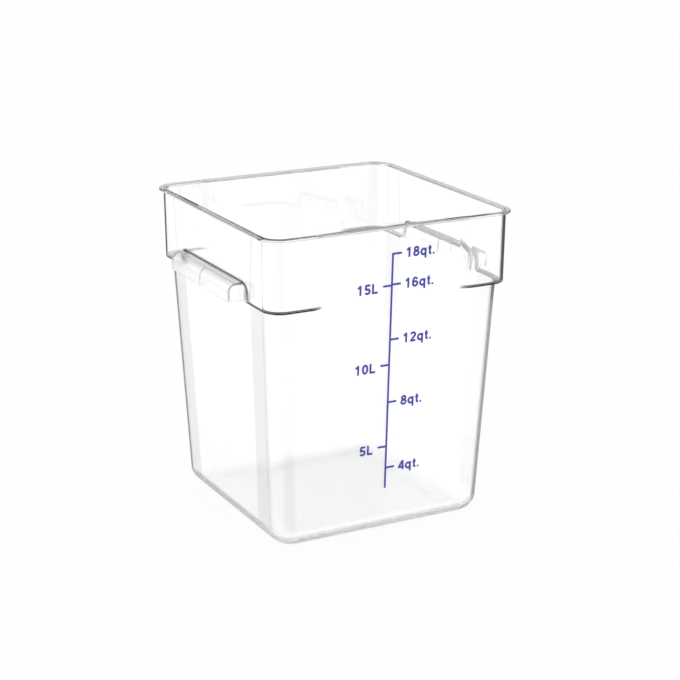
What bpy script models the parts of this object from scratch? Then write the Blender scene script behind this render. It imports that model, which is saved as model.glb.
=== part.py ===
"""Clear 18-quart food storage container, moulded in one piece, with its printed volume scale.

Metres, +Z up. The origin is the middle of the underside. The printed scale is on the front,
at -Y, and the two finger grips are at -X and +X.

The container is one loft. A profile runs from the middle of the underside, up the outside,
over the rim and down the inside to the middle of the floor. It is worked out anew at each
station round the rounded square, because the collar ends higher over the grips and fades
into the wall on the front and back.
"""
import math

import bmesh
import bpy
from mathutils import Vector

# Overall sizes
RIM_WIDTH = 0.280
HEIGHT = 0.326

# Moulded wall
WALL = 0.0028
FLOOR_THICKNESS = 0.0032

# Rim flange
RIM_OVERHANG = 0.0046
RIM_THICKNESS = 0.0024
RIM_EDGE_RADIUS = 0.0008
RIM_ROOT_RADIUS = 0.0008
MOUTH_EDGE_RADIUS = 0.0012

# Collar, which the body steps out to, from its lower edge to the rim
COLLAR_DEPTH = 0.0726
COLLAR_DRAFT = math.radians(0.6)
COLLAR_CORNER_RADIUS = 0.0195
COLLAR_EDGE_RADIUS = 0.0012
COLLAR_UNDERSIDE_RISE = 0.0005
SHOULDER_STEP = 0.0042
LEDGE_RADIUS = 0.0015

# Over each grip the collar ends higher. Past the grip's end its lower edge drops to the level
# of the rest: round an arc, down a steep run and round a fillet.
GRIP_SHOULDER_RISE = 0.018
DROP_BEYOND_GRIP = 0.0049
DROP_UPPER_RADIUS = 0.0090
DROP_LOWER_RADIUS = 0.0055
DROP_RUN = 0.0008

# The collar is sunk a little over the grips, up to an edge between two shares of the flat wall
# from the end of the drop to the corner, and this part is wider at the rim by a last share
SIDE_RECESS = 0.0002
SIDE_RECESS_SHARES = (0.21106, 0.29559)
SIDE_RECESS_FLARE_SHARE = 0.09

# On the front and back the collar fades into the wall between these shares of the flat wall
# from its middle to the corner
COLLAR_FADE_SHARES = (0.725, 0.835)

# Body
BODY_DRAFT = math.radians(2.7)
BODY_CORNER_RADIUS = 0.025
BASE_EDGE_RADIUS = 0.018

# Underside: a flat foot all round, a panel raised inside it, and the mark of the gate
FOOT_WIDTH = 0.014
FOOT_SLOPE_WIDTH = 0.0030
PANEL_RISE = 0.0012
PANEL_CORNER_RADIUS = 0.012
GATE_RADIUS = 0.0055
GATE_DEPTH = 0.0006

# Finger grips
GRIP_LENGTH = 0.1392
GRIP_REACH = 0.0141
GRIP_DEPTH = 0.0184
GRIP_LAP = 0.0010
GRIP_WALL = 0.0026
GRIP_EDGE_RADIUS = 0.0088
GRIP_END_RADIUS = 0.0010
GRIP_RIB = 0.0024

# Printed scale
PRINT_THICKNESS = 0.0003
PRINT_CLEARANCE = 0.0003
PRINT_STROKE = 0.0020
PRINT_SHIFT = -0.0010
TICK_LENGTH = 0.0100

# Heights on the front wall, as shares of the container's height
LINE_START_SHARE = 0.149
QUART_TICK_SHARES = (0.2175, 0.436, 0.640, 0.8155, 0.912)
LITRE_TICK_SHARES = (0.290, 0.559, 0.813)

# Smoothness, in steps
CORNER_STEPS = 8
BASE_EDGE_STEPS = 6
COLLAR_EDGE_STEPS = 3
DROP_STEPS = 4
BLEND_STEPS = 6
GRIP_EDGE_STEPS = 6
ROUND_STEPS = 24
SHARP_ANGLE = math.radians(20)
PLACE_DIGITS = 6

FRONT, RIGHT, BACK, LEFT = range(4)
GRIP_SIDES = (RIGHT, LEFT)

# Worked out from the sizes above
RIM_HALF = RIM_WIDTH / 2
RIM_UNDERSIDE = HEIGHT - RIM_THICKNESS
SHOULDER_HEIGHT = RIM_UNDERSIDE - COLLAR_DEPTH
FLOOR_LEVEL = PANEL_RISE + FLOOR_THICKNESS
GRIP_SHOULDER = SHOULDER_HEIGHT + GRIP_SHOULDER_RISE
GRIP_TOP = GRIP_SHOULDER + GRIP_LAP
GRIP_BOTTOM = GRIP_TOP - GRIP_DEPTH


def collar_half(height):
    """Half the width across the collar's outside at a height."""
    below_rim = RIM_UNDERSIDE - height
    return RIM_HALF - RIM_OVERHANG - below_rim * math.tan(COLLAR_DRAFT)


BODY_TOP_HALF = collar_half(SHOULDER_HEIGHT) - SHOULDER_STEP
FLAT_HALF = BODY_TOP_HALF - BODY_CORNER_RADIUS
GRIP_OUTSIDE = collar_half(GRIP_SHOULDER) + GRIP_REACH
DROP_PLACE = GRIP_LENGTH / 2 + DROP_BEYOND_GRIP
DROP_END = DROP_PLACE + DROP_LOWER_RADIUS
RECESS_EDGE = [DROP_END + share * (FLAT_HALF - DROP_END) for share in SIDE_RECESS_SHARES]
COLLAR_FADE = [share * FLAT_HALF for share in COLLAR_FADE_SHARES]


def body_half(height):
    """Half the width across the body's outside at a height."""
    return BODY_TOP_HALF - (SHOULDER_HEIGHT - height) * math.tan(BODY_DRAFT)


def smooth_share(value, start, end):
    """Rises smoothly from 0 at start to 1 at end."""
    share = min(max((value - start) / (end - start), 0), 1)
    return share * share * (3 - 2 * share)


def spread(start, end, steps):
    """Evenly spaced values from start to end, both included."""
    return [start + (end - start) * step / steps for step in range(steps + 1)]


def drop_height(along, depth):
    """Height of the collar's lower edge this far from a grip's middle.

    depth is how far the edge is moved into the material, up and away from the grip, as the
    ledge inside is. The arc and the fillet keep their centres.
    """
    beyond = along - DROP_PLACE - depth
    upper, lower = DROP_UPPER_RADIUS + depth, DROP_LOWER_RADIUS - depth
    half_run = DROP_RUN / 2
    across_arc = max(min(beyond, -half_run) + upper, 0)
    across_fillet = max(lower - max(beyond, half_run), 0)
    arc = GRIP_SHOULDER + depth - upper + math.sqrt(upper**2 - across_arc**2)
    fillet = SHOULDER_HEIGHT + depth + lower - math.sqrt(lower**2 - across_fillet**2)
    share = min(max(beyond / DROP_RUN + 1 / 2, 0), 1)
    return arc + share * (fillet - arc)


def drop_places():
    """Distances from a grip's middle that take in the drop's bends, outside and inside."""
    places = set()
    for depth in (0, WALL):
        place = DROP_PLACE + depth
        arc = spread(place - DROP_UPPER_RADIUS - depth, place - DROP_RUN / 2, DROP_STEPS)
        fillet = spread(place + DROP_RUN / 2, place + DROP_LOWER_RADIUS - depth, DROP_STEPS)
        places.update(round(along, PLACE_DIGITS) for along in arc + fillet)
    return sorted(places)


class Station:
    """One place round the rounded square: on a side, or on the corner that follows it."""

    def __init__(self, side, along=None, angle=None):
        quarter_turn = math.pi / 2
        heading = (side - 1) * quarter_turn
        self.side = side
        self.along = along
        self.angle = angle
        self.outward = Vector((math.cos(heading), math.sin(heading), 0))
        self.sideways = Vector((-math.sin(heading), math.cos(heading), 0))

    def shoulder(self, depth=0):
        """Height of the collar's lower edge here, or of the ledge inside it."""
        if self.side not in GRIP_SIDES or self.angle is not None:
            return SHOULDER_HEIGHT + depth
        return drop_height(abs(self.along), depth)

    def recess(self):
        """How far the collar is sunk here."""
        if self.side not in GRIP_SIDES or self.angle is not None:
            return 0
        fall = smooth_share(abs(self.along), *RECESS_EDGE)
        return SIDE_RECESS * (1 - fall)

    def collar_share(self):
        """How far the collar stands out here: 1 is its full step, 0 is flush."""
        if self.side in GRIP_SIDES or self.angle is not None:
            return 1
        return smooth_share(abs(self.along), *COLLAR_FADE)

    def point(self, half, radius, height, along_share=1):
        """The point here of a rounded square of this half width and corner radius."""
        if self.angle is None:
            flat = self.outward * half + self.sideways * (self.along * along_share)
        else:
            turned = self.outward * math.cos(self.angle) + self.sideways * math.sin(self.angle)
            flat = (self.outward + self.sideways) * (half - radius) + turned * radius
        return flat + Vector((0, 0, height))


def stations_round():
    """Every station, anticlockwise from above, starting on the front."""
    stations = []
    for side in (FRONT, RIGHT, BACK, LEFT):
        if side in GRIP_SIDES:
            blend = drop_places() + RECESS_EDGE
        else:
            blend = spread(*COLLAR_FADE, BLEND_STEPS)
        places = [-along for along in reversed(blend)] + [0] + blend
        stations += [Station(side, along=along) for along in places]
        angles = spread(0, math.pi / 2, CORNER_STEPS)
        stations += [Station(side, angle=angle) for angle in angles]
    return stations


def collar_point(station, height, depth, edge_inset=0):
    """A point on the collar, depth inside its skin, or on the body where the collar fades."""
    body = body_half(height)
    step = collar_half(height) - station.recess() - edge_inset - body
    half = body + station.collar_share() * step - depth
    flare = SIDE_RECESS_FLARE_SHARE * (height - SHOULDER_HEIGHT) / COLLAR_DEPTH
    along_share = 1 + flare if station.side in GRIP_SIDES else 1
    return station.point(half, COLLAR_CORNER_RADIUS - edge_inset - depth, height, along_share)


def body_point(station, height, depth, step_out=0):
    """A point on the body, depth inside its skin."""
    half = body_half(height) + station.collar_share() * step_out - depth
    return station.point(half, BODY_CORNER_RADIUS - depth, height)


def base_edge(station, level, depth):
    """The rounded edge between a flat bottom at this level and the wall, from the bottom up."""
    radius = BASE_EDGE_RADIUS - depth
    tangent_height = level + radius * (1 - math.sin(BODY_DRAFT))
    tangent_half = body_half(tangent_height) - depth
    centre_half = tangent_half - radius * math.cos(BODY_DRAFT)
    flat_share = (body_half(0) - BODY_CORNER_RADIUS) / FLAT_HALF
    points = []
    for angle in spread(-math.pi / 2, -BODY_DRAFT, BASE_EDGE_STEPS):
        half = centre_half + radius * math.cos(angle)
        height = level + radius + radius * math.sin(angle)
        corner = BODY_CORNER_RADIUS - depth - (tangent_half - half)
        points.append(station.point(half, corner, height, flat_share))
    return points


def underside(station):
    """The raised panel's edge and the inner edge of the foot."""
    foot_inside = body_half(0) - BASE_EDGE_RADIUS - FOOT_WIDTH
    panel = foot_inside - FOOT_SLOPE_WIDTH
    share = foot_inside / BODY_TOP_HALF
    return [
        station.point(panel, PANEL_CORNER_RADIUS - FOOT_SLOPE_WIDTH, PANEL_RISE, share),
        station.point(foot_inside, PANEL_CORNER_RADIUS, 0, share),
    ]


def outer_shoulder(station):
    """The step out from the body to the collar, from the bottom up."""
    level = station.shoulder()
    underside_level = level + COLLAR_UNDERSIDE_RISE
    points = [body_point(station, level, 0)]
    for angle in spread(0, math.pi / 2, COLLAR_EDGE_STEPS):
        inset = COLLAR_EDGE_RADIUS * (1 - math.sin(angle))
        height = underside_level + COLLAR_EDGE_RADIUS * (1 - math.cos(angle))
        points.append(collar_point(station, height, 0, inset))
    return points


def rim(station):
    """The flange and the edge of the mouth, from the outside in."""
    corner = COLLAR_CORNER_RADIUS + RIM_OVERHANG
    root = collar_point(station, RIM_UNDERSIDE - RIM_ROOT_RADIUS, 0)
    root_out = collar_point(station, RIM_UNDERSIDE, -RIM_ROOT_RADIUS)
    edge = RIM_HALF - RIM_EDGE_RADIUS
    edge_corner = corner - RIM_EDGE_RADIUS
    mouth_top = collar_point(station, HEIGHT, WALL - MOUTH_EDGE_RADIUS)
    mouth_side = collar_point(station, HEIGHT - MOUTH_EDGE_RADIUS, WALL)
    return [
        root,
        root_out,
        station.point(edge, edge_corner, RIM_UNDERSIDE),
        station.point(RIM_HALF, corner, RIM_UNDERSIDE + RIM_EDGE_RADIUS),
        station.point(RIM_HALF, corner, HEIGHT - RIM_EDGE_RADIUS),
        station.point(edge, edge_corner, HEIGHT),
        mouth_top,
        mouth_side,
    ]


def inner_shoulder(station):
    """The ledge inside the collar, from the top down, one wall above the step outside."""
    level = station.shoulder(WALL)
    ledge = level + COLLAR_UNDERSIDE_RISE
    return [
        collar_point(station, ledge + LEDGE_RADIUS, WALL),
        collar_point(station, ledge, WALL, LEDGE_RADIUS),
        body_point(station, level, WALL, LEDGE_RADIUS),
        body_point(station, level - LEDGE_RADIUS, WALL),
    ]


def profile(station):
    """The wall's whole profile at one station, from under the floor to the top of the floor."""
    floor_edge = base_edge(station, FLOOR_LEVEL, WALL)
    return (
        underside(station)
        + base_edge(station, 0, 0)
        + outer_shoulder(station)
        + rim(station)
        + inner_shoulder(station)
        + list(reversed(floor_edge))
    )


def loft(profiles, name, closed):
    """A mesh object through a row of equal profiles, capped at the ends of each profile.

    A closed loft runs round to its start, so its caps are the first and last points of all
    profiles. An open loft has closed profiles, so its caps are the first and last profile.
    """
    mesh = bmesh.new()
    rows = [[mesh.verts.new(point) for point in points] for points in profiles]
    columns = len(rows[0])
    last_row = len(rows) if closed else len(rows) - 1
    last_column = columns - 1 if closed else columns
    for row in range(last_row):
        here, after = rows[row], rows[(row + 1) % len(rows)]
        for column in range(last_column):
            beside = (column + 1) % columns
            mesh.faces.new((here[column], after[column], after[beside], here[beside]))
    if closed:
        mesh.faces.new([row[0] for row in reversed(rows)])
        mesh.faces.new([row[-1] for row in rows])
    else:
        mesh.faces.new(reversed(rows[-1]))
        mesh.faces.new(rows[0])
    return mesh_object(mesh, name)


def mesh_object(mesh, name):
    """Puts a bmesh into the scene as a smooth-shaded object with sharp edges kept."""
    data = bpy.data.meshes.new(name)
    bmesh.ops.recalc_face_normals(mesh, faces=mesh.faces)
    mesh.to_mesh(data)
    mesh.free()
    data.shade_smooth()
    data.set_sharp_from_angle(angle=SHARP_ANGLE)
    built = bpy.data.objects.new(name, data)
    bpy.context.scene.collection.objects.link(built)
    return built


def guide(shape):
    """Marks an object that only shapes another one."""
    shape.hide_render = True
    shape.display_type = "WIRE"
    return shape


def combine(target, tool, operation):
    """Adds a Boolean modifier that joins or cuts the target with a guide object."""
    modifier = target.modifiers.new(tool.name, "BOOLEAN")
    modifier.operation = operation
    modifier.solver = "EXACT"
    modifier.object = guide(tool)


def grip_outline(along, inset, drop, root_depth):
    """A section of the grip across its length: its top, round edge, lip and open bottom.

    inset moves the top and the lip inwards, drop lowers the bottom, and root_depth is how
    deep in the container's wall the section starts.
    """
    top = GRIP_TOP - inset
    bottom = GRIP_BOTTOM - drop
    radius = GRIP_EDGE_RADIUS - inset
    centre = Vector((GRIP_OUTSIDE - GRIP_EDGE_RADIUS, along, GRIP_TOP - GRIP_EDGE_RADIUS))
    points = [Vector((body_half(top) - root_depth, along, top))]
    for angle in spread(math.pi / 2, 0, GRIP_EDGE_STEPS):
        turned = Vector((math.cos(angle), 0, math.sin(angle)))
        points.append(centre + turned * radius)
    points.append(Vector((GRIP_OUTSIDE - inset, along, bottom)))
    points.append(Vector((body_half(bottom) - root_depth, along, bottom)))
    return points


def grip_block(name):
    """The grip before its pockets are cut, at +X, with its two ends rounded over."""
    half = GRIP_LENGTH / 2
    root_depth = WALL / 2
    end_shares = spread(0, 1, 2)
    ends = []
    for share in end_shares:
        angle = share * math.pi / 2
        inset = GRIP_END_RADIUS * (1 - math.sin(angle))
        along = half - GRIP_END_RADIUS * (1 - math.cos(angle))
        ends.append((along, inset))
    places = [(-along, inset) for along, inset in ends] + list(reversed(ends))
    sections = [grip_outline(along, inset, 0, root_depth) for along, inset in places]
    return loft(sections, name, closed=False)


def grip_pocket(name, direction):
    """The space for the fingers on one side of the grip's middle rib, open at the bottom."""
    inner_end = GRIP_RIB / 2
    outer_end = GRIP_LENGTH / 2 - GRIP_WALL
    places = sorted((direction * inner_end, direction * outer_end))
    sections = [grip_outline(along, GRIP_WALL, GRIP_WALL, WALL) for along in places]
    return loft(sections, name, closed=False)


def grip(name):
    """A finger grip at +X: a lip with closed ends and a middle rib, open underneath."""
    block = grip_block(name)
    for label, direction in (("front", -1), ("back", 1)):
        pocket = grip_pocket(f"{name}_{label}_pocket", direction)
        pocket.parent = block
        combine(block, pocket, "DIFFERENCE")
    return block


def gate_mark(name):
    """The shallow dimple in the middle of the underside where the mould was filled."""
    mesh = bmesh.new()
    bmesh.ops.create_cone(
        mesh,
        cap_ends=True,
        segments=ROUND_STEPS,
        radius1=GATE_RADIUS,
        radius2=GATE_RADIUS,
        depth=GATE_DEPTH * 2,
    )
    cutter = mesh_object(mesh, name)
    cutter.location.z = PANEL_RISE
    return cutter


def container():
    """The moulded container: its loft, the two grips and the gate's dimple."""
    body = loft([profile(station) for station in stations_round()], "container", closed=True)
    right_grip = grip("right_grip")
    left_grip = grip("left_grip")
    left_grip.rotation_euler.z = math.pi
    combine(body, right_grip, "UNION")
    combine(body, left_grip, "UNION")
    combine(body, gate_mark("gate_mark"), "DIFFERENCE")
    return body


def scale_outline():
    """The printed line and its ticks as one outline of (across, height), anticlockwise."""
    half_stroke = PRINT_STROKE / 2
    right = [(half_stroke, LINE_START_SHARE * HEIGHT)]
    for share in QUART_TICK_SHARES:
        low, high = share * HEIGHT - half_stroke, share * HEIGHT + half_stroke
        right += [(half_stroke, low), (TICK_LENGTH, low), (TICK_LENGTH, high), (half_stroke, high)]
    right.pop()
    left = [(-half_stroke, LINE_START_SHARE * HEIGHT)]
    for share in LITRE_TICK_SHARES:
        low, high = share * HEIGHT - half_stroke, share * HEIGHT + half_stroke
        left += [(-half_stroke, low), (-TICK_LENGTH, low), (-TICK_LENGTH, high), (-half_stroke, high)]
    left.append((-half_stroke, QUART_TICK_SHARES[-1] * HEIGHT + half_stroke))
    return right + list(reversed(left))


def volume_scale():
    """The blue scale printed on the front wall: quarts on the right, litres on the left."""
    layers = []
    for outward in (PRINT_CLEARANCE + PRINT_THICKNESS, PRINT_CLEARANCE):
        layer = []
        for across, height in scale_outline():
            layer.append(Vector((across + PRINT_SHIFT, -(body_half(height) + outward), height)))
        layers.append(layer)
    return loft(layers, "volume_scale", closed=False)


def material(name, colour, roughness, transmission):
    """A Principled BSDF of one colour."""
    made = bpy.data.materials.new(name)
    made.use_nodes = True
    shader = made.node_tree.nodes["Principled BSDF"]
    shader.inputs["Base Color"].default_value = (*colour, 1)
    shader.inputs["Roughness"].default_value = roughness
    shader.inputs["Metallic"].default_value = 0
    shader.inputs["Transmission Weight"].default_value = transmission
    return made


def main():
    for old in list(bpy.data.objects):
        bpy.data.objects.remove(old, do_unlink=True)
    clear = material("clear_polycarbonate", (0.93, 0.95, 0.95), 0.05, 1)
    ink = material("blue_ink", (0.05, 0.06, 0.28), 0.5, 0)
    container().data.materials.append(clear)
    volume_scale().data.materials.append(ink)


main()
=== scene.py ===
"""Looks of the clear food storage container: moulded polycarbonate, blue print and studio."""
import math

import bmesh
import bpy
from mathutils import Matrix, Vector

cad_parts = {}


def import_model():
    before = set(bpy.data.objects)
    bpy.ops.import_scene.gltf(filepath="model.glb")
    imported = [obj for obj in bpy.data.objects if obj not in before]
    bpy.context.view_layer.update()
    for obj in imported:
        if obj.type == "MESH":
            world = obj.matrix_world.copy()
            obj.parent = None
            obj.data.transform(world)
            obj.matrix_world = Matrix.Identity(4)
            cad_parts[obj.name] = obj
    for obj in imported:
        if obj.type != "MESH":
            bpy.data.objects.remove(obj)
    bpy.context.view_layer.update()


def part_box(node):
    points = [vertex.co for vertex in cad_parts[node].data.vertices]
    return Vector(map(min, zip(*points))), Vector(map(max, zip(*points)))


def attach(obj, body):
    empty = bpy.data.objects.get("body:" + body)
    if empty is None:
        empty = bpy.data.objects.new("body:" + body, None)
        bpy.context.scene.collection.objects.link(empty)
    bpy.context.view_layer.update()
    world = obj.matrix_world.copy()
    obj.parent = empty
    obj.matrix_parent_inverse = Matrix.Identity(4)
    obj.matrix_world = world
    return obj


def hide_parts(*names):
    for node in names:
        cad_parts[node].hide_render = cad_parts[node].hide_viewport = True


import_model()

# Overall sizes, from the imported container
box_low, box_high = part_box("container")
RIM_WIDTH = box_high.y - box_low.y
HEIGHT = box_high.z - box_low.z
GRIP_OUTSIDE = box_high.x

# Moulded wall
WALL = 0.0028
FLOOR_THICKNESS = 0.0032

# Rim flange
RIM_OVERHANG = 0.0046
RIM_THICKNESS = 0.0024
RIM_EDGE_RADIUS = 0.0008
RIM_ROOT_RADIUS = 0.0008
MOUTH_EDGE_RADIUS = 0.0012

# Collar, which the body steps out to, from its lower edge to the rim
COLLAR_DEPTH = 0.0726
COLLAR_DRAFT = math.radians(0.6)
COLLAR_CORNER_RADIUS = 0.0195
COLLAR_EDGE_RADIUS = 0.0012
COLLAR_UNDERSIDE_RISE = 0.0005
SHOULDER_STEP = 0.0042
STEP_BAND = 0.0005

# The ledge inside the collar follows its lower edge, at this depth
LEDGE_DEPTH = 0.0014
LEDGE_RADIUS = 0.0015

# Over each grip the collar ends higher. Past the grip's end its lower edge drops to the level
# of the rest: round an arc, down a steep run and round a fillet.
GRIP_SHOULDER_RISE = 0.018
DROP_BEYOND_GRIP = 0.0049
DROP_UPPER_RADIUS = 0.0090
DROP_LOWER_RADIUS = 0.0055
DROP_RUN = 0.0008

# The collar is sunk a little over the grips, up to an edge between two shares of the flat wall
# from the end of the drop to the corner, and this part is wider at the rim by a last share
SIDE_RECESS = 0.0001
SIDE_RECESS_SHARES = (0.21106, 0.29559)
SIDE_RECESS_FLARE_SHARE = 0.09

# On the front and back the collar fades into the wall between these shares of the flat wall
# from its middle to the corner
COLLAR_FADE_SHARES = (0.725, 0.835)

# Body
BODY_DRAFT = math.radians(2.7)
BODY_CORNER_RADIUS = 0.025
BASE_EDGE_RADIUS = 0.018

# Underside: a flat foot all round, a panel raised inside it, and the mark of the gate
FOOT_WIDTH = 0.014
FOOT_SLOPE_WIDTH = 0.0030
PANEL_RISE = 0.0012
PANEL_CORNER_RADIUS = 0.012
GATE_RADIUS = 0.0055
GATE_DEPTH = 0.0006

# Finger grips
GRIP_LENGTH = 0.1392
GRIP_DEPTH = 0.0184
GRIP_LAP = 0.0010
GRIP_WALL = 0.0026
GRIP_EDGE_RADIUS = 0.0088
GRIP_END_RADIUS = 0.0010
GRIP_RIB = 0.0024

# Smoothness: steps in each curve, and the angle from which an edge is sharp
CORNER_STEPS = 28
BASE_EDGE_STEPS = 20
COLLAR_EDGE_STEPS = 6
SMALL_EDGE_STEPS = 4
DROP_STEPS = 14
BLEND_STEPS = 24
GRIP_EDGE_STEPS = 16
ROUND_STEPS = 48
SHARP_ANGLE = math.radians(30)

# Places are rounded to these digits, and those closer than the gap count as one
PLACE_DIGITS = 6
FIT_GAP = 0.00001

# Print: a thin layer of ink on the front wall, with its heights as shares of the container's
PRINT_THICKNESS = 0.00004
PRINT_CLEARANCE = 0.00003
PRINT_STROKE = 0.0022
PRINT_SHIFT = -0.0010
TICK_LENGTH = 0.0100
LINE_START_SHARE = 0.149
QUART_MARKS = (
    (0.2175, "4qt."), (0.436, "8qt."), (0.640, "12qt."), (0.8155, "16qt."), (0.912, "18qt."),
)
LITRE_MARKS = ((0.290, "5L"), (0.559, "10L"), (0.813, "15L"))
LABEL_PLACE = 0.0142
QUART_LABEL_DROP = 0.0003
LITRE_LABEL_DROP = 0.0010

# Letters are strokes in shares of the height of a capital: rows of points (across, up), and
# arcs (centre across, centre up, radius across, radius up, first degree, last degree)
LETTER_HEIGHT = 0.0104
LETTER_STROKE_SHARE = 0.215
LETTER_BEARING_SHARE = 0.053
ARC_STEPS = 12
LETTERS = {
    "0": (0.777, [[(0.335, 0.5, 0.24, 0.405, 0, 360)]]),
    "1": (0.777, [[(0.36, 0), (0.36, 1)], [(0.36, 0.90), (0.08, 0.70)]]),
    "2": (0.777, [
        [(0.335, 0.70, 0.235, 0.205, 165, -35), (0.10, 0.095)],
        [(0.04, 0.095), (0.62, 0.095)],
    ]),
    "4": (0.777, [[(0.46, 0.95), (0.07, 0.30)], [(0, 0.30), (0.68, 0.30)], [(0.50, 0), (0.50, 1)]]),
    "5": (0.777, [
        [(0.13, 0.905), (0.61, 0.905)],
        [(0.18, 0.97), (0.12, 0.47)],
        [(0.32, 0.32, 0.24, 0.225, 140, -155)],
    ]),
    "6": (0.777, [
        [(0.335, 0.32, 0.24, 0.225, 0, 360)],
        [(0.335, 0.5, 0.24, 0.405, 215, 35)],
    ]),
    "8": (0.777, [
        [(0.335, 0.735, 0.195, 0.17, 0, 360)],
        [(0.335, 0.30, 0.24, 0.205, 0, 360)],
    ]),
    "q": (0.853, [[(0.335, 0.36, 0.24, 0.27, 0, 360)], [(0.575, -0.28), (0.575, 0.72)]]),
    "t": (0.465, [
        [(0.17, 0.93), (0.265, 0.19, 0.095, 0.095, 180, 270), (0.36, 0.095)],
        [(0, 0.64), (0.36, 0.64)],
    ]),
    ".": (0.388, [[(0.14, 0), (0.14, 0.19)]]),
    "L": (0.853, [[(0.14, 0), (0.14, 1)], [(0.14, 0.095), (0.66, 0.095)]]),
}

WHITE = (1, 1, 1, 1)

# Plastic: polished outside and in the collar. Up to the first of the heights the inside is
# satin and the whole body is milky at glancing angles, and both are gone at the second. The
# grips are satin too, beyond a place on each side of the middle and below the rim. Scuffs and
# moulding ripples are faint.
PLASTIC_IOR = 1.585
PLASTIC_GLOSS = 0.5
SHADOW_COLOUR = (0.92, 0.93, 0.93, 1)
POLISHED_ROUGHNESS = 0.0
SATIN_ROUGHNESS = 0.15
SATIN_HEIGHTS = (0.215, 0.268)
SATIN_GRIP_PLACES = (0.1352, 0.1370)
SATIN_GRIP_HEIGHTS = (0.273, 0.280)
HAZE = 0.08
EDGE_HAZE = 0.85
EDGE_HAZE_POWER = 2.5
MILKY_COLOUR = (0.76, 0.77, 0.78, 1)
SCUFF_SCALE = 70
SCUFF_DETAIL = 4
SCUFF_RANGE = (0.35, 0.65)
SCUFF_ROUGHNESS = 0.01
RIPPLE_SCALE = 22
RIPPLE_DETAIL = 2
RIPPLE_HEIGHT = 0.00005

# Faces carry these values to the plastic: how much painted shade it has there, and whether it is
# satin
SHADE_NAME = "edge_shade"
SATIN_NAME = "satin"

# Painted shade on some faces, from 0 to 1, as a near-black colour over the clear plastic: the
# collar's step, the ledge inside it, that ledge at the drops, the lower edge of the flange, and
# painted grey strips down the side walls that run on round the corners by a turn
SHADE_COLOUR = (0.01, 0.01, 0.012, 1)
SHADE_COVER = 0.97
STEP_SHADE = 1.0
LEDGE_SHADE = 0.8
DROP_SHADE = 1.0
FLANGE_EDGE_SHADE = 0.3
STRIP_SHADE = 0.23
STRIP_TURN = math.radians(15)

# All but the strips' painted shade is full where a wall faces the dark heading and falls to the
# far share where it faces away, between two cosines of the angle
DARK_HEADING = math.radians(-118)
DARK_FACING = (-0.6, 0.3)
FAR_SHADE = 0.3

# Ink
INK_COLOURS = (0.030, 0.030, 0.30, 1), (0.045, 0.045, 0.38, 1)
INK_ROUGHNESS = (0.35, 0.55)
INK_GRAIN_SCALE = 900
INK_GRAIN_DETAIL = 3

# Studio, as mirror reflections see it. Dark screens stand at the heading. Turning anticlockwise
# from there, the brightness changes between the two turns of a row, in degrees, by its last
# value. The ceiling and the table show above and below, between two heights of the direction.
SCREEN_HEADING = math.radians(62)
SCREEN_BRIGHTNESS = 0.1
PANEL_EDGES = ((44, 49.5, 1.2), (140, 165, -0.8), (195, 220, 0.8), (280, 300, -1.2))
CEILING_RANGE = (0.05, 0.25)
CEILING_BRIGHTNESS = 0.35
TABLE_RANGE = (-0.6, -0.42)
TABLE_BRIGHTNESS = 0.8

# Light and floor, as everything else sees them
WORLD_LIGHT = 0.95
FLOOR_SIZE = 30.0
FLOOR_COLOUR = (0.15, 0.15, 0.15, 1)
FLOOR_GLOW = 0.855
MOST_BOUNCES = 24

# Camera: from the front and left, a little above, with a long lens
CAMERA_AZIMUTH = math.radians(-27.98)
CAMERA_ELEVATION = math.radians(17.41)
CAMERA_ROLL = math.radians(0.15)
CAMERA_DISTANCE = 1.94292
CAMERA_TARGET = Vector((0.00885, -0.00464, 0.17249))
SENSOR_WIDTH = 36.0
IMAGE_WIDTH_PX = 680
FOCAL_PX = 1844.91

FRONT, RIGHT, BACK, LEFT = range(4)
GRIP_SIDES = (RIGHT, LEFT)

# Worked out from the sizes above
RIM_HALF = RIM_WIDTH / 2
RIM_UNDERSIDE = HEIGHT - RIM_THICKNESS
SHOULDER_HEIGHT = RIM_UNDERSIDE - COLLAR_DEPTH
FLOOR_LEVEL = PANEL_RISE + FLOOR_THICKNESS
GRIP_SHOULDER = SHOULDER_HEIGHT + GRIP_SHOULDER_RISE
GRIP_TOP = GRIP_SHOULDER + GRIP_LAP
GRIP_BOTTOM = GRIP_TOP - GRIP_DEPTH

# Points of the profile down the inside, from the foot of the ledge to the floor
INSIDE_POINTS = 1 + BASE_EDGE_STEPS + 1

scene = bpy.context.scene


def collar_half(height):
    """Half the width across the collar's outside at a height."""
    below_rim = RIM_UNDERSIDE - height
    return RIM_HALF - RIM_OVERHANG - below_rim * math.tan(COLLAR_DRAFT)


BODY_TOP_HALF = collar_half(SHOULDER_HEIGHT) - SHOULDER_STEP
FLAT_HALF = BODY_TOP_HALF - BODY_CORNER_RADIUS
DROP_PLACE = GRIP_LENGTH / 2 + DROP_BEYOND_GRIP
DROP_END = DROP_PLACE + DROP_LOWER_RADIUS
RECESS_EDGE = [DROP_END + share * (FLAT_HALF - DROP_END) for share in SIDE_RECESS_SHARES]
COLLAR_FADE = [share * FLAT_HALF for share in COLLAR_FADE_SHARES]


def body_half(height):
    """Half the width across the body's outside at a height."""
    return BODY_TOP_HALF - (SHOULDER_HEIGHT - height) * math.tan(BODY_DRAFT)


def smooth_share(value, start, end):
    """Rises smoothly from 0 at start to 1 at end."""
    share = min(max((value - start) / (end - start), 0), 1)
    return share * share * (3 - 2 * share)


def spread(start, end, steps):
    """Evenly spaced values from start to end, both included."""
    return [start + (end - start) * step / steps for step in range(steps + 1)]


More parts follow.
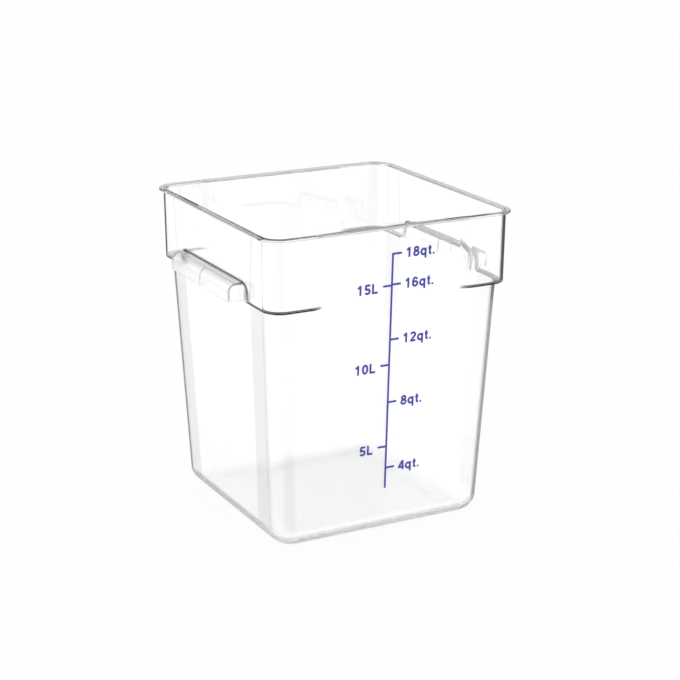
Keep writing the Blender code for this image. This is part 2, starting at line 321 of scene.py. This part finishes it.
def drop_height(along, depth):
    """Height of the collar's lower edge this far from a grip's middle.

    depth is how far the edge is moved into the material, up and away from the grip, as the
    ledge inside is. The arc and the fillet keep their centres.
    """
    beyond = along - DROP_PLACE - depth
    upper, lower = DROP_UPPER_RADIUS + depth, DROP_LOWER_RADIUS - depth
    half_run = DROP_RUN / 2
    across_arc = max(min(beyond, -half_run) + upper, 0)
    across_fillet = max(lower - max(beyond, half_run), 0)
    arc = GRIP_SHOULDER + depth - upper + math.sqrt(upper**2 - across_arc**2)
    fillet = SHOULDER_HEIGHT + depth + lower - math.sqrt(lower**2 - across_fillet**2)
    share = min(max(beyond / DROP_RUN + 1 / 2, 0), 1)
    return arc + share * (fillet - arc)


def drop_places():
    """Distances from a grip's middle that take in the drop's bends, outside and inside."""
    places = set()
    for depth in (0, LEDGE_DEPTH):
        place = DROP_PLACE + depth
        arc = spread(place - DROP_UPPER_RADIUS - depth, place - DROP_RUN / 2, DROP_STEPS)
        fillet = spread(place + DROP_RUN / 2, place + DROP_LOWER_RADIUS - depth, DROP_STEPS)
        places.update(round(along, PLACE_DIGITS) for along in arc + fillet)
    return sorted(places)


class Station:
    """One place round the rounded square: on a side, or on the corner that follows it."""

    def __init__(self, side, along=None, angle=None):
        quarter_turn = math.pi / 2
        heading = (side - 1) * quarter_turn
        self.side = side
        self.along = along
        self.angle = angle
        self.is_on_grip_wall = side in GRIP_SIDES and angle is None
        self.outward = Vector((math.cos(heading), math.sin(heading), 0))
        self.sideways = Vector((-math.sin(heading), math.cos(heading), 0))

    def shoulder(self, depth=0):
        """Height of the collar's lower edge here, or of the ledge inside it."""
        if self.is_on_grip_wall:
            return drop_height(abs(self.along), depth)
        return SHOULDER_HEIGHT + depth

    def recess(self):
        """How far the collar is sunk here."""
        if self.is_on_grip_wall:
            return SIDE_RECESS * (1 - smooth_share(abs(self.along), *RECESS_EDGE))
        return 0

    def is_on_drop(self):
        """Whether the collar's lower edge bends here, past the end of a grip."""
        return SHOULDER_HEIGHT + FIT_GAP < self.shoulder() < GRIP_SHOULDER - FIT_GAP

    def is_on_strip(self):
        """Whether this is on the strip of painted shade down a side wall, from the drop into the
        corner.
        """
        if self.is_on_grip_wall:
            return abs(self.along) > DROP_END - FIT_GAP
        if self.angle is None:
            return False
        past_side = self.angle if self.side in GRIP_SIDES else math.pi / 2 - self.angle
        return past_side < STRIP_TURN

    def facing(self):
        """The direction that the wall faces here."""
        turn = self.angle or 0
        return self.outward * math.cos(turn) + self.sideways * math.sin(turn)

    def darkness(self):
        """How dark the painted shades are here, from FAR_SHADE to 1."""
        towards = Vector((math.cos(DARK_HEADING), math.sin(DARK_HEADING), 0))
        near = smooth_share(self.facing().dot(towards), *DARK_FACING)
        return FAR_SHADE + (1 - FAR_SHADE) * near

    def collar_share(self):
        """How far the collar stands out here: 1 is its full step, 0 is flush."""
        if self.side in GRIP_SIDES or self.angle is not None:
            return 1
        return smooth_share(abs(self.along), *COLLAR_FADE)

    def point(self, half, radius, height, along_share=1):
        """The point here of a rounded square of this half width and corner radius."""
        if self.angle is None:
            flat = self.outward * half + self.sideways * (self.along * along_share)
        else:
            flat = (self.outward + self.sideways) * (half - radius) + self.facing() * radius
        return flat + Vector((0, 0, height))


def stations_round():
    """Every station, anticlockwise from above, starting on the front."""
    stations = []
    for side in (FRONT, RIGHT, BACK, LEFT):
        if side in GRIP_SIDES:
            blend = drop_places() + spread(*RECESS_EDGE, SMALL_EDGE_STEPS)
        else:
            blend = spread(*COLLAR_FADE, BLEND_STEPS)
        places = [-along for along in reversed(blend)] + [0] + blend
        stations += [Station(side, along=along) for along in places]
        angles = spread(0, math.pi / 2, CORNER_STEPS)
        stations += [Station(side, angle=angle) for angle in angles]
    return stations


def collar_point(station, height, depth, edge_inset=0):
    """A point on the collar, depth inside its skin, or on the body where the collar fades."""
    body = body_half(height)
    step = collar_half(height) - station.recess() - edge_inset - body
    half = body + station.collar_share() * step - depth
    flare = SIDE_RECESS_FLARE_SHARE * (height - SHOULDER_HEIGHT) / COLLAR_DEPTH
    along_share = 1 + flare if station.side in GRIP_SIDES else 1
    return station.point(half, COLLAR_CORNER_RADIUS - edge_inset - depth, height, along_share)


def body_point(station, height, depth, step_out=0):
    """A point on the body, depth inside its skin."""
    half = body_half(height) + station.collar_share() * step_out - depth
    return station.point(half, BODY_CORNER_RADIUS - depth, height)


def base_edge(station, level, depth):
    """The rounded edge between a flat bottom at this level and the wall, from the bottom up."""
    radius = BASE_EDGE_RADIUS - depth
    tangent_height = level + radius * (1 - math.sin(BODY_DRAFT))
    tangent_half = body_half(tangent_height) - depth
    centre_half = tangent_half - radius * math.cos(BODY_DRAFT)
    flat_share = (body_half(0) - BODY_CORNER_RADIUS) / FLAT_HALF
    points = []
    for angle in spread(-math.pi / 2, -BODY_DRAFT, BASE_EDGE_STEPS):
        half = centre_half + radius * math.cos(angle)
        height = level + radius + radius * math.sin(angle)
        corner = BODY_CORNER_RADIUS - depth - (tangent_half - half)
        points.append(station.point(half, corner, height, flat_share))
    return points


def underside(station):
    """The raised panel's edge and the inner edge of the foot."""
    foot_inside = body_half(0) - BASE_EDGE_RADIUS - FOOT_WIDTH
    panel = foot_inside - FOOT_SLOPE_WIDTH
    share = foot_inside / BODY_TOP_HALF
    return [
        station.point(panel, PANEL_CORNER_RADIUS - FOOT_SLOPE_WIDTH, PANEL_RISE, share),
        station.point(foot_inside, PANEL_CORNER_RADIUS, 0, share),
    ]


def outer_shoulder(station):
    """The step out from the body to the collar, from the bottom up."""
    level = station.shoulder()
    underside_level = level + COLLAR_UNDERSIDE_RISE
    points = [body_point(station, level, 0)]
    for angle in spread(0, math.pi / 2, COLLAR_EDGE_STEPS):
        inset = COLLAR_EDGE_RADIUS * (1 - math.sin(angle))
        height = underside_level + COLLAR_EDGE_RADIUS * (1 - math.cos(angle))
        points.append(collar_point(station, height, 0, inset))
    points.append(collar_point(station, height + STEP_BAND, 0))
    return points


def rim(station):
    """The flange and the edge of the mouth, from the outside in."""
    corner = COLLAR_CORNER_RADIUS + RIM_OVERHANG
    points = []
    for angle in spread(0, math.pi / 2, SMALL_EDGE_STEPS):
        out = RIM_ROOT_RADIUS * (1 - math.cos(angle))
        height = RIM_UNDERSIDE - RIM_ROOT_RADIUS * (1 - math.sin(angle))
        points.append(collar_point(station, height, -out))
    for angle in spread(-math.pi / 2, math.pi / 2, 2 * SMALL_EDGE_STEPS):
        inset = RIM_EDGE_RADIUS * (1 - math.cos(angle))
        middle = RIM_UNDERSIDE + RIM_EDGE_RADIUS if angle < 0 else HEIGHT - RIM_EDGE_RADIUS
        height = middle + RIM_EDGE_RADIUS * math.sin(angle)
        points.append(station.point(RIM_HALF - inset, corner - inset, height))
    for angle in spread(0, math.pi / 2, SMALL_EDGE_STEPS):
        depth = WALL - MOUTH_EDGE_RADIUS * (1 - math.sin(angle))
        height = HEIGHT - MOUTH_EDGE_RADIUS * (1 - math.cos(angle))
        points.append(collar_point(station, height, depth))
    return points


def inner_shoulder(station):
    """The ledge inside the collar, from the top down, just above the step outside."""
    level = station.shoulder(LEDGE_DEPTH)
    ledge = level + COLLAR_UNDERSIDE_RISE
    return [
        collar_point(station, ledge + LEDGE_RADIUS, WALL),
        collar_point(station, ledge, WALL, LEDGE_RADIUS),
        body_point(station, level, WALL, LEDGE_RADIUS),
        body_point(station, level - LEDGE_RADIUS, WALL),
    ]


def profile(station):
    """The wall's whole profile at one station, from under the floor to the top of the floor."""
    floor_edge = base_edge(station, FLOOR_LEVEL, WALL)
    return (
        underside(station)
        + base_edge(station, 0, 0)
        + outer_shoulder(station)
        + rim(station)
        + inner_shoulder(station)
        + list(reversed(floor_edge))
    )


def profile_shades(station):
    """How much painted shade the band of faces after each point of the profile has, in runs of
    points.
    """
    near = station.darkness()
    step = near * math.sqrt(station.collar_share())
    runs = (
        (2 + BASE_EDGE_STEPS, 0),
        (1, STRIP_SHADE if station.is_on_strip() else 0),
        (2 + COLLAR_EDGE_STEPS, step * STEP_SHADE),
        (2 + SMALL_EDGE_STEPS, 0),
        (SMALL_EDGE_STEPS, near * FLANGE_EDGE_SHADE),
        (2 + 2 * SMALL_EDGE_STEPS, 0),
        (3, step * (DROP_SHADE if station.is_on_drop() else LEDGE_SHADE)),
        (INSIDE_POINTS, 0),
    )
    return [shade for count, shade in runs for _ in range(count)]


def wall_shades(stations):
    """The painted shades between each station and the next, halfway between theirs."""
    rows = [profile_shades(station) for station in stations]
    return [
        [(first + second) / 2 for first, second in zip(here, after)]
        for here, after in zip(rows, rows[1:] + rows[:1])
    ]


def loft(profiles, name, closed, shades=(), satin=()):
    """A mesh object through profiles that have the same number of points.

    Closed, it is a ring of open profiles, capped where they start and where they end, and the
    second cap, the top of the floor, is satin. Not closed, it is a row of closed profiles,
    capped by the first and the last.
    """
    mesh = bmesh.new()
    shade_layer = mesh.faces.layers.float.new(SHADE_NAME)
    satin_layer = mesh.faces.layers.float.new(SATIN_NAME)
    rows = [[mesh.verts.new(point) for point in points] for points in profiles]
    columns = len(rows[0])
    last_row = len(rows) if closed else len(rows) - 1
    last_column = columns - 1 if closed else columns
    for row in range(last_row):
        here, after = rows[row], rows[(row + 1) % len(rows)]
        for column in range(last_column):
            beside = (column + 1) % columns
            face = mesh.faces.new((here[column], after[column], after[beside], here[beside]))
            if shades:
                face[shade_layer] = shades[row][column]
            if satin:
                face[satin_layer] = satin[column]
    if closed:
        mesh.faces.new([row[0] for row in reversed(rows)])
        top = mesh.faces.new([row[-1] for row in rows])
        top[satin_layer] = 1
    else:
        mesh.faces.new(reversed(rows[-1]))
        mesh.faces.new(rows[0])
    return mesh_object(mesh, name)


def mesh_object(mesh, name):
    """Puts a bmesh into the scene as an object, with its faces turned outward."""
    data = bpy.data.meshes.new(name)
    bmesh.ops.recalc_face_normals(mesh, faces=mesh.faces)
    mesh.to_mesh(data)
    mesh.free()
    built = bpy.data.objects.new(name, data)
    scene.collection.objects.link(built)
    return built


def apply_modifiers(target):
    """Turns what the object's modifiers make into its mesh."""
    bpy.context.view_layer.update()
    result = target.evaluated_get(bpy.context.evaluated_depsgraph_get())
    data = bpy.data.meshes.new_from_object(result)
    target.modifiers.clear()
    target.data = data


def combine(target, tool, operation, own_overlaps=False):
    """Joins or cuts the target with another mesh, and removes that mesh.

    own_overlaps is for a mesh that crosses itself.
    """
    modifier = target.modifiers.new(tool.name, "BOOLEAN")
    modifier.operation = operation
    modifier.solver = "EXACT"
    modifier.use_self = own_overlaps
    modifier.object = tool
    apply_modifiers(target)
    bpy.data.objects.remove(tool)


def shade_smooth(target):
    """Smooth shading that keeps sharp edges, and keeps large faces flat beside their edges."""
    target.data.shade_smooth()
    target.data.set_sharp_from_angle(angle=SHARP_ANGLE)
    modifier = target.modifiers.new("normals", "WEIGHTED_NORMAL")
    modifier.keep_sharp = True
    apply_modifiers(target)


def grip_outline(along, inset, drop, root_depth):
    """A section of the grip across its length: its top, round edge, lip and open bottom."""
    top = GRIP_TOP - inset
    bottom = GRIP_BOTTOM - drop
    radius = GRIP_EDGE_RADIUS - inset
    centre = Vector((GRIP_OUTSIDE - GRIP_EDGE_RADIUS, along, GRIP_TOP - GRIP_EDGE_RADIUS))
    points = [Vector((body_half(top) - root_depth, along, top))]
    for angle in spread(math.pi / 2, 0, GRIP_EDGE_STEPS):
        turned = Vector((math.cos(angle), 0, math.sin(angle)))
        points.append(centre + turned * radius)
    points.append(Vector((GRIP_OUTSIDE - inset, along, bottom)))
    points.append(Vector((body_half(bottom) - root_depth, along, bottom)))
    return points


def grip_block(name):
    """The grip before its pockets are cut, at +X, with its two ends rounded over."""
    ends = []
    for share in spread(0, 1, SMALL_EDGE_STEPS):
        angle = share * math.pi / 2
        inset = GRIP_END_RADIUS * (1 - math.sin(angle))
        along = GRIP_LENGTH / 2 - GRIP_END_RADIUS * (1 - math.cos(angle))
        ends.append((along, inset))
    places = [(-along, inset) for along, inset in ends] + list(reversed(ends))
    sections = [grip_outline(along, inset, 0, WALL / 2) for along, inset in places]
    return loft(sections, name, closed=False)


def grip_pocket(name, direction):
    """The space for the fingers on one side of the grip's middle rib, open at the bottom."""
    inner_end = GRIP_RIB / 2
    outer_end = GRIP_LENGTH / 2 - GRIP_WALL
    places = sorted((direction * inner_end, direction * outer_end))
    sections = [grip_outline(along, GRIP_WALL, GRIP_WALL, WALL) for along in places]
    return loft(sections, name, closed=False)


def grip(name):
    """A finger grip at +X: a lip with closed ends and a middle rib, open underneath."""
    block = grip_block(name)
    for direction in (-1, 1):
        combine(block, grip_pocket(name + "_pocket", direction), "DIFFERENCE")
    return block


def gate_mark(name):
    """The shallow dimple in the middle of the underside where the mould was filled."""
    mesh = bmesh.new()
    bmesh.ops.create_cone(
        mesh,
        cap_ends=True,
        segments=ROUND_STEPS,
        radius1=GATE_RADIUS,
        radius2=GATE_RADIUS,
        depth=GATE_DEPTH * 2,
    )
    bmesh.ops.translate(mesh, verts=mesh.verts, vec=(0, 0, PANEL_RISE))
    return mesh_object(mesh, name)


def container():
    """The moulded container: its loft, the two grips and the gate's dimple."""
    stations = stations_round()
    profiles = [profile(station) for station in stations]
    shades = wall_shades(stations)
    satin = [0] * (len(profiles[0]) - INSIDE_POINTS) + [1] * INSIDE_POINTS
    body = loft(profiles, "moulded_container", closed=True, shades=shades, satin=satin)
    right_grip = grip("right_grip")
    left_grip = grip("left_grip")
    left_grip.data.transform(Matrix.Rotation(math.pi, 4, "Z"))
    combine(body, right_grip, "UNION")
    combine(body, left_grip, "UNION")
    combine(body, gate_mark("gate_mark"), "DIFFERENCE")
    shade_smooth(body)
    return body


def stroke_path(parts):
    """The points along a stroke, with its arcs worked out, and whether it closes on itself."""
    points = []
    closed = False
    for part in parts:
        if len(part) == 2:
            points.append(Vector(part))
            continue
        across, up, wide, high, first, last = part
        closed = abs(last - first) == 360
        for degrees in spread(first, last, ARC_STEPS * (2 if closed else 1)):
            angle = math.radians(degrees)
            points.append(Vector((across + wide * math.cos(angle), up + high * math.sin(angle))))
    if closed:
        points.pop()
    return points, closed


def stroke_sides(points, closed, half):
    """The two edges of a stroke that runs through points, mitred where it turns."""
    sides = []
    last = len(points) - 1
    for index, point in enumerate(points):
        before = point - points[index - 1] if index or closed else None
        after = points[(index + 1) % len(points)] - point if index < last or closed else None
        ways = [way.normalized() for way in (before, after) if way is not None]
        normals = [Vector((-way.y, way.x)) for way in ways]
        middle = sum(normals, Vector((0, 0))).normalized()
        reach = middle * (half / middle.dot(normals[0]))
        sides.append((point + reach, point - reach))
    return sides


def add_stroke(mesh, points, closed, width):
    """Adds one stroke to a flat mesh, as a solid one unit deep."""
    rows = []
    for left, right in stroke_sides(points, closed, width / 2):
        corners = [(left, 0), (right, 0), (right, 1), (left, 1)]
        rows.append([mesh.verts.new((flat.x, flat.y, deep)) for flat, deep in corners])
    pairs = list(zip(rows, rows[1:]))
    if closed:
        pairs.append((rows[-1], rows[0]))
    else:
        mesh.faces.new(rows[0])
        mesh.faces.new(reversed(rows[-1]))
    for here, after in pairs:
        for corner in range(4):
            beside = (corner + 1) % 4
            mesh.faces.new((here[corner], after[corner], after[beside], here[beside]))


def add_label(mesh, label, across, middle):
    """Adds a label to a flat mesh, in strokes, from this place across and about a height."""
    for letter in label:
        advance, strokes = LETTERS[letter]
        for parts in strokes:
            points, closed = stroke_path(parts)
            place = Vector((across + LETTER_BEARING_SHARE, middle - 1 / 2))
            points = [point + place for point in points]
            add_stroke(mesh, points, closed, LETTER_STROKE_SHARE)
        across += advance


def flat_print():
    """The line, its ticks and their labels, flat, in heights of a capital and one unit deep."""
    size = LETTER_HEIGHT
    stroke, tick, label_place = PRINT_STROKE / size, TICK_LENGTH / size, LABEL_PLACE / size
    half = stroke / 2
    start = LINE_START_SHARE * HEIGHT / size
    top = QUART_MARKS[-1][0] * HEIGHT / size + half
    line = bmesh.new()
    add_stroke(line, [Vector((0, start)), Vector((0, top))], False, stroke)
    marks = bmesh.new()
    for side, rows, drop in ((1, QUART_MARKS, QUART_LABEL_DROP), (-1, LITRE_MARKS, LITRE_LABEL_DROP)):
        for share, label in rows:
            level = share * HEIGHT / size
            add_stroke(marks, [Vector((0, level)), Vector((side * tick, level))], False, stroke)
            width = sum(LETTERS[letter][0] for letter in label)
            across = label_place if side > 0 else -label_place - width
            add_label(marks, label, across, level - drop / size)
    printed = mesh_object(line, "printed_scale")
    combine(printed, mesh_object(marks, "printed_marks"), "UNION", own_overlaps=True)
    return printed


def printed_scale():
    """The blue scale on the front wall: quarts on the right and litres on the left."""
    printed = flat_print()
    for vertex in printed.data.vertices:
        flat = vertex.co
        height = flat.y * LETTER_HEIGHT
        outward = PRINT_CLEARANCE + flat.z * PRINT_THICKNESS
        across = flat.x * LETTER_HEIGHT + PRINT_SHIFT
        vertex.co = Vector((across, -(body_half(height) + outward), height))
    return printed


def set_inputs(tree, node, values):
    """Gives inputs of a node, by name or number, their values or links."""
    for name, value in dict(values).items():
        if isinstance(value, bpy.types.NodeSocket):
            tree.links.new(value, node.inputs[name])
        else:
            node.inputs[name].default_value = value


def add_node(tree, kind, settings=(), values=()):
    """A new node with these settings, and values or links for its inputs."""
    made = tree.nodes.new(kind)
    for name, value in dict(settings).items():
        setattr(made, name, value)
    set_inputs(tree, made, values)
    return made


def ramp(tree, value, start, end, low, high):
    """Rises or falls smoothly from low at start to high at end."""
    values = {"Value": value, "From Min": start, "From Max": end, "To Min": low, "To Max": high}
    made = add_node(tree, "ShaderNodeMapRange", {"interpolation_type": "SMOOTHSTEP"}, values)
    return made.outputs["Result"]


def maths(tree, operation, *terms):
    """The result of one sum on values or sockets."""
    made = add_node(tree, "ShaderNodeMath", {"operation": operation}, enumerate(terms))
    return made.outputs["Value"]


def noise(tree, scale, detail, place):
    """Noise about one half, with features of about 1 / scale metres."""
    values = {"Vector": place, "Scale": scale, "Detail": detail}
    return add_node(tree, "ShaderNodeTexNoise", {}, values).outputs["Fac"]


def face_value(tree, name):
    """A value that the mesh's faces carry under this name."""
    return add_node(tree, "ShaderNodeAttribute", {"attribute_name": name}).outputs["Fac"]


def mixed_colour(tree, share, first, second):
    """The first colour where the share is 0 and the second where it is 1."""
    values = {"Factor": share, "A": first, "B": second}
    return add_node(tree, "ShaderNodeMix", {"data_type": "RGBA"}, values).outputs["Result"]


def mixed_shader(tree, share, first, second):
    """The first shader where the share is 0 and the second where it is 1."""
    values = {0: share, 1: first, 2: second}
    return add_node(tree, "ShaderNodeMixShader", {}, values).outputs["Shader"]


def satin_cover(tree, parts, low):
    """Where the plastic is satin: inside the body, and on the grips."""
    inside = maths(tree, "MULTIPLY", face_value(tree, SATIN_NAME), low)
    outward = maths(tree, "ABSOLUTE", parts["X"])
    beyond_wall = ramp(tree, outward, *SATIN_GRIP_PLACES, 0, 1)
    below_rim = ramp(tree, parts["Z"], *SATIN_GRIP_HEIGHTS, 1, 0)
    grips = maths(tree, "MULTIPLY", beyond_wall, below_rim)
    return maths(tree, "MAXIMUM", inside, grips)


def plastic_roughness(tree, place, satin):
    """Roughness of the plastic, with scuffs where it is satin."""
    scuffs = ramp(tree, noise(tree, SCUFF_SCALE, SCUFF_DETAIL, place), *SCUFF_RANGE, -1, 1)
    scuffed = maths(tree, "MULTIPLY_ADD", scuffs, SCUFF_ROUGHNESS, SATIN_ROUGHNESS)
    return maths(tree, "MULTIPLY_ADD", scuffed, satin, POLISHED_ROUGHNESS)


def polycarbonate():
    """Clear moulded plastic: polished, satin or milky, and painted near-black where faces carry
    painted shade.

    Shadow rays go through it, so that its shadow stays pale.
    """
    made = bpy.data.materials.new("clear_polycarbonate")
    made.use_nodes = True
    tree = made.node_tree
    place = add_node(tree, "ShaderNodeTexCoord").outputs["Object"]
    parts = add_node(tree, "ShaderNodeSeparateXYZ", {}, {"Vector": place}).outputs
    # Painted shade from the faces: it turns the plastic near-black and nearly opaque there
    shade = face_value(tree, SHADE_NAME)

    low = ramp(tree, parts["Z"], *SATIN_HEIGHTS, 1, 0)
    satin = satin_cover(tree, parts, low)
    glancing = add_node(tree, "ShaderNodeLayerWeight").outputs["Facing"]
    milky = maths(tree, "MULTIPLY", maths(tree, "POWER", glancing, EDGE_HAZE_POWER), EDGE_HAZE)
    satin_haze = maths(tree, "MULTIPLY", satin, HAZE)
    haze = maths(tree, "MAXIMUM", satin_haze, maths(tree, "MULTIPLY", low, milky))
    covered = maths(tree, "MAXIMUM", haze, maths(tree, "MULTIPLY", shade, SHADE_COVER))
    hazy_colour = mixed_colour(tree, milky, WHITE, MILKY_COLOUR)
    ripple = add_node(tree, "ShaderNodeBump", {}, {
        "Strength": 1,
        "Distance": RIPPLE_HEIGHT,
        "Height": noise(tree, RIPPLE_SCALE, RIPPLE_DETAIL, place),
    })

    shader = tree.nodes["Principled BSDF"]
    set_inputs(tree, shader, {
        "Base Color": mixed_colour(tree, shade, hazy_colour, SHADE_COLOUR),
        "Roughness": plastic_roughness(tree, place, satin),
        "IOR": PLASTIC_IOR,
        "Transmission Weight": maths(tree, "SUBTRACT", 1, covered),
        "Specular IOR Level": ramp(tree, shade, 0, 1, PLASTIC_GLOSS, 0),
        "Normal": ripple.outputs["Normal"],
    })
    shadow = add_node(tree, "ShaderNodeLightPath").outputs["Is Shadow Ray"]
    through = add_node(tree, "ShaderNodeBsdfTransparent", {}, {"Color": SHADOW_COLOUR})
    surface = mixed_shader(tree, shadow, shader.outputs["BSDF"], through.outputs["BSDF"])
    set_inputs(tree, tree.nodes["Material Output"], {"Surface": surface})
    return made


def ink():
    """Blue screen-printed ink, a little uneven in strength and gloss."""
    made = bpy.data.materials.new("blue_ink")
    made.use_nodes = True
    tree = made.node_tree
    place = add_node(tree, "ShaderNodeTexCoord").outputs["Object"]
    grain = noise(tree, INK_GRAIN_SCALE, INK_GRAIN_DETAIL, place)
    set_inputs(tree, tree.nodes["Principled BSDF"], {
        "Base Color": mixed_colour(tree, grain, *INK_COLOURS),
        "Roughness": ramp(tree, grain, 0, 1, *INK_ROUGHNESS),
    })
    return made


def is_mirrored(tree):
    """1 for what is seen after a mirror reflection on or in the plastic, and 0 otherwise."""
    depth = add_node(tree, "ShaderNodeLightPath").outputs["Glossy Depth"]
    return maths(tree, "GREATER_THAN", depth, 0.5)


def surroundings(tree):
    """Brightness of the room by direction, as mirror reflections see it.

    Dark screens at the back and right draw the plastic's edges. Bright panels face its other
    walls, so that these stay pale, with a dim gap between them on the camera's side. The
    ceiling is dim and the table is bright.
    """
    place = add_node(tree, "ShaderNodeTexCoord").outputs["Generated"]
    parts = add_node(tree, "ShaderNodeSeparateXYZ", {}, {"Vector": place}).outputs
    azimuth = maths(tree, "ARCTAN2", parts["Y"], parts["X"])
    from_screens = maths(tree, "SUBTRACT", azimuth, SCREEN_HEADING)
    turned = maths(tree, "FLOORED_MODULO", from_screens, math.tau)
    panels = SCREEN_BRIGHTNESS
    for first, last, change in PANEL_EDGES:
        edge = ramp(tree, turned, math.radians(first), math.radians(last), 0, change)
        panels = maths(tree, "ADD", panels, edge)
    ceiling = ramp(tree, parts["Z"], *CEILING_RANGE, 0, CEILING_BRIGHTNESS)
    table = ramp(tree, parts["Z"], *TABLE_RANGE, TABLE_BRIGHTNESS, 0)
    return maths(tree, "MAXIMUM", maths(tree, "MAXIMUM", panels, ceiling), table)


def world():
    """A plain pale studio: white to the camera and through the plastic.

    Mirror reflections see its screens and panels instead.
    """
    made = bpy.data.worlds.new("studio")
    scene.world = made
    made.use_nodes = True
    tree = made.node_tree
    path = add_node(tree, "ShaderNodeLightPath").outputs
    brightness = add_node(tree, "ShaderNodeMix", {}, {
        "Factor": is_mirrored(tree), "A": 1, "B": surroundings(tree),
    })
    lit = tree.nodes["Background"]
    set_inputs(tree, lit, {"Color": WHITE, "Strength": WORLD_LIGHT})
    seen = add_node(tree, "ShaderNodeBackground", {}, {
        "Color": WHITE, "Strength": brightness.outputs["Result"],
    })
    direct = maths(tree, "MAXIMUM", path["Is Camera Ray"], path["Is Transmission Ray"])
    visible = maths(tree, "MAXIMUM", direct, path["Is Glossy Ray"])
    surface = mixed_shader(tree, visible, lit.outputs["Background"], seen.outputs["Background"])
    set_inputs(tree, tree.nodes["World Output"], {"Surface": surface})


def floor():
    """A wide pale floor that takes a light shadow and is left out of mirror reflections."""
    bpy.ops.mesh.primitive_plane_add(size=FLOOR_SIZE, location=(0, 0, 0))
    made = bpy.context.object
    made.name = "floor"
    material = bpy.data.materials.new("white_floor")
    material.use_nodes = True
    tree = material.node_tree
    tree.nodes.remove(tree.nodes["Principled BSDF"])
    diffuse = add_node(tree, "ShaderNodeBsdfDiffuse", {}, {"Color": FLOOR_COLOUR})
    glow = add_node(tree, "ShaderNodeEmission", {}, {"Strength": FLOOR_GLOW})
    shown = add_node(tree, "ShaderNodeAddShader", {}, {
        0: diffuse.outputs["BSDF"], 1: glow.outputs["Emission"],
    })
    hidden = add_node(tree, "ShaderNodeBsdfTransparent")
    surface = mixed_shader(tree, is_mirrored(tree), shown.outputs["Shader"], hidden.outputs["BSDF"])
    set_inputs(tree, tree.nodes["Material Output"], {"Surface": surface})
    made.data.materials.append(material)


def camera():
    """The camera at the photograph's angle."""
    level = math.cos(CAMERA_ELEVATION)
    back = Vector((
        math.sin(CAMERA_AZIMUTH) * level,
        -math.cos(CAMERA_AZIMUTH) * level,
        math.sin(CAMERA_ELEVATION),
    ))
    eye = CAMERA_TARGET + back * CAMERA_DISTANCE
    right = Vector((0, 0, 1)).cross(back).normalized()
    up = back.cross(right)
    turned_right = right * math.cos(CAMERA_ROLL) + up * math.sin(CAMERA_ROLL)
    turned_up = up * math.cos(CAMERA_ROLL) - right * math.sin(CAMERA_ROLL)
    data = bpy.data.cameras.new("camera")
    data.sensor_width = SENSOR_WIDTH
    data.lens = SENSOR_WIDTH * FOCAL_PX / IMAGE_WIDTH_PX
    made = bpy.data.objects.new("camera", data)
    scene.collection.objects.link(made)
    axes = Matrix((turned_right, turned_up, back)).transposed()
    made.matrix_world = Matrix.LocRotScale(eye, axes.to_quaternion(), None)
    scene.camera = made


def main():
    """Sets up the studio and the camera, and dresses the part."""
    scene.view_settings.view_transform = "Standard"
    scene.cycles.max_bounces = MOST_BOUNCES
    scene.cycles.transmission_bounces = MOST_BOUNCES
    scene.cycles.glossy_bounces = MOST_BOUNCES
    camera()
    world()
    floor()
    moulding = container()
    moulding.data.materials.clear()
    moulding.data.materials.append(polycarbonate())
    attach(moulding, "root")
    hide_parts("container")
    scale = printed_scale()
    scale.data.materials.clear()
    scale.data.materials.append(ink())
    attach(scale, "root")
    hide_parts("volume_scale")


main()
